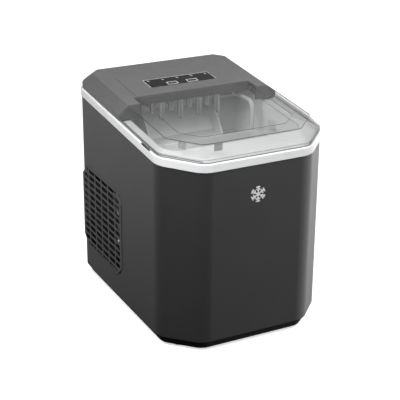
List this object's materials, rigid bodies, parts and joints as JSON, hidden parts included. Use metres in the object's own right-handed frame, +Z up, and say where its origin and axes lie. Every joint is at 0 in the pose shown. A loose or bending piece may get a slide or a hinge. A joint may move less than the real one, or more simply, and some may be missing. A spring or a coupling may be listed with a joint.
{
  "type": "ice maker",
  "caption": "Countertop ice maker with a sloping top, clear hinged lid, control panel, chilled finger evaporator, lift-out basket and side air grilles.",
  "frame": {"origin": "middle of the footprint on the surface that the feet stand on", "axes": "+X across to the right seen from the front, +Y towards the back, +Z up"},
  "size_m": [0.2244, 0.2934, 0.2851],
  "materials": {
    "housing_paint": "satin powder coat",
    "housing_plastic": "fine satin texture",
    "base_plastic": "matte",
    "rubber": "matte",
    "emblem_print": "satin",
    "white_plastic": "gloss",
    "zinc_steel": "zinc plated",
    "panel_gloss": "high gloss",
    "button_gloss": "gloss",
    "lamp_lens": "translucent",
    "circuit_board": "satin",
    "smoked_clear": "clear smoked plastic",
    "stainless": "brushed",
    "tab_plastic": "satin",
    "liner_plastic": "satin",
    "foam": "matte",
    "basket_plastic": "satin",
    "float_plastic": "matte",
    "hose_rubber": "soft clear",
    "tray_plastic": "satin",
    "compressor_paint": "gloss enamel",
    "copper": "drawn copper",
    "fin_aluminium": "bright",
    "fan_plastic": "satin"
  },
  "bodies": {
    "housing": {"body_shell": "housing_paint", "rear_panel": "housing_paint", "rear_panel_screws": "zinc_steel", "left_grille": "housing_plastic", "right_grille": "housing_plastic", "base_pan": "base_plastic", "rubber_feet": "rubber", "front_emblem": "emblem_print", "trim_ring": "white_plastic", "top_cover": "housing_plastic", "cover_screws": "zinc_steel", "control_panel": "panel_gloss", "indicator_lenses": "lamp_lens", "display_board": "circuit_board", "display_board_screws": "zinc_steel", "tank_liner": "liner_plastic", "tank_insulation": "foam", "float_stem": "liner_plastic", "ice_sensors": "panel_gloss", "water_pump": "base_plastic", "pump_hose": "hose_rubber", "drain_tube": "white_plastic", "evaporator_tube": "stainless", "ice_fingers": "stainless", "tray_bracket": "stainless", "tray_motor": "zinc_steel", "compressor": "compressor_paint", "compressor_grommets": "rubber", "compressor_bolts": "zinc_steel", "condenser_coil": "fin_aluminium", "condenser_fins": "fin_aluminium", "fan_shroud": "base_plastic", "fan_motor": "zinc_steel", "suction_line": "copper", "capillary_line": "copper", "filter_dryer": "copper", "liquid_line": "copper", "discharge_line": "copper", "control_board": "circuit_board", "board_posts": "white_plastic", "cord_gland": "rubber"},
    "lid": {"lid": "smoked_clear", "lid_hinge_pins": "stainless", "lid_tabs": "tab_plastic"},
    "power_button": {"power_button": "button_gloss"},
    "size_button": {"size_button": "button_gloss"},
    "basket": {"ice_basket": "basket_plastic"},
    "level_float": {"level_float": "float_plastic"},
    "drain_plug": {"drain_plug": "rubber"},
    "tray": {"water_tray": "tray_plastic", "tray_shaft": "stainless"},
    "fan": {"fan_blades": "fan_plastic", "fan_shaft": "stainless"}
  },
  "joints": [
    {"name": "lid_hinge", "type": "hinge", "parent": "housing", "child": "lid", "pos_m": [0, 0.0165, 0.27019], "axis": [-1, 0, 0], "range_deg": [0, 104]},
    {"name": "power_press", "type": "slide", "parent": "housing", "child": "power_button", "axis": [0, 0.0811, -0.9967], "range_m": [0, 0.0006], "stiffness_N_per_m": 150, "springref_m": -0.0005},
    {"name": "size_press", "type": "slide", "parent": "housing", "child": "size_button", "axis": [0, 0.0811, -0.9967], "range_m": [0, 0.0006], "stiffness_N_per_m": 150, "springref_m": -0.0005},
    {"name": "tray_tilt", "type": "hinge", "parent": "housing", "child": "tray", "pos_m": [0, 0.07, 0.25], "axis": [-1, 0, 0], "range_deg": [0, 50]},
    {"name": "fan_spin", "type": "hinge", "parent": "housing", "child": "fan", "pos_m": [-0.076, 0.068, 0.102], "axis": [1, 0, 0], "continuous": true},
    {"name": "basket_lift", "type": "slide", "parent": "housing", "child": "basket", "axis": [0, 0, 1], "range_m": [0, 0.03]},
    {"name": "float_rise", "type": "slide", "parent": "housing", "child": "level_float", "axis": [0, 0, 1], "range_m": [0, 0.0185]},
    {"name": "plug_pull", "type": "slide", "parent": "housing", "child": "drain_plug", "axis": [1, 0, 0], "range_m": [0, 0.014]}
  ]
}
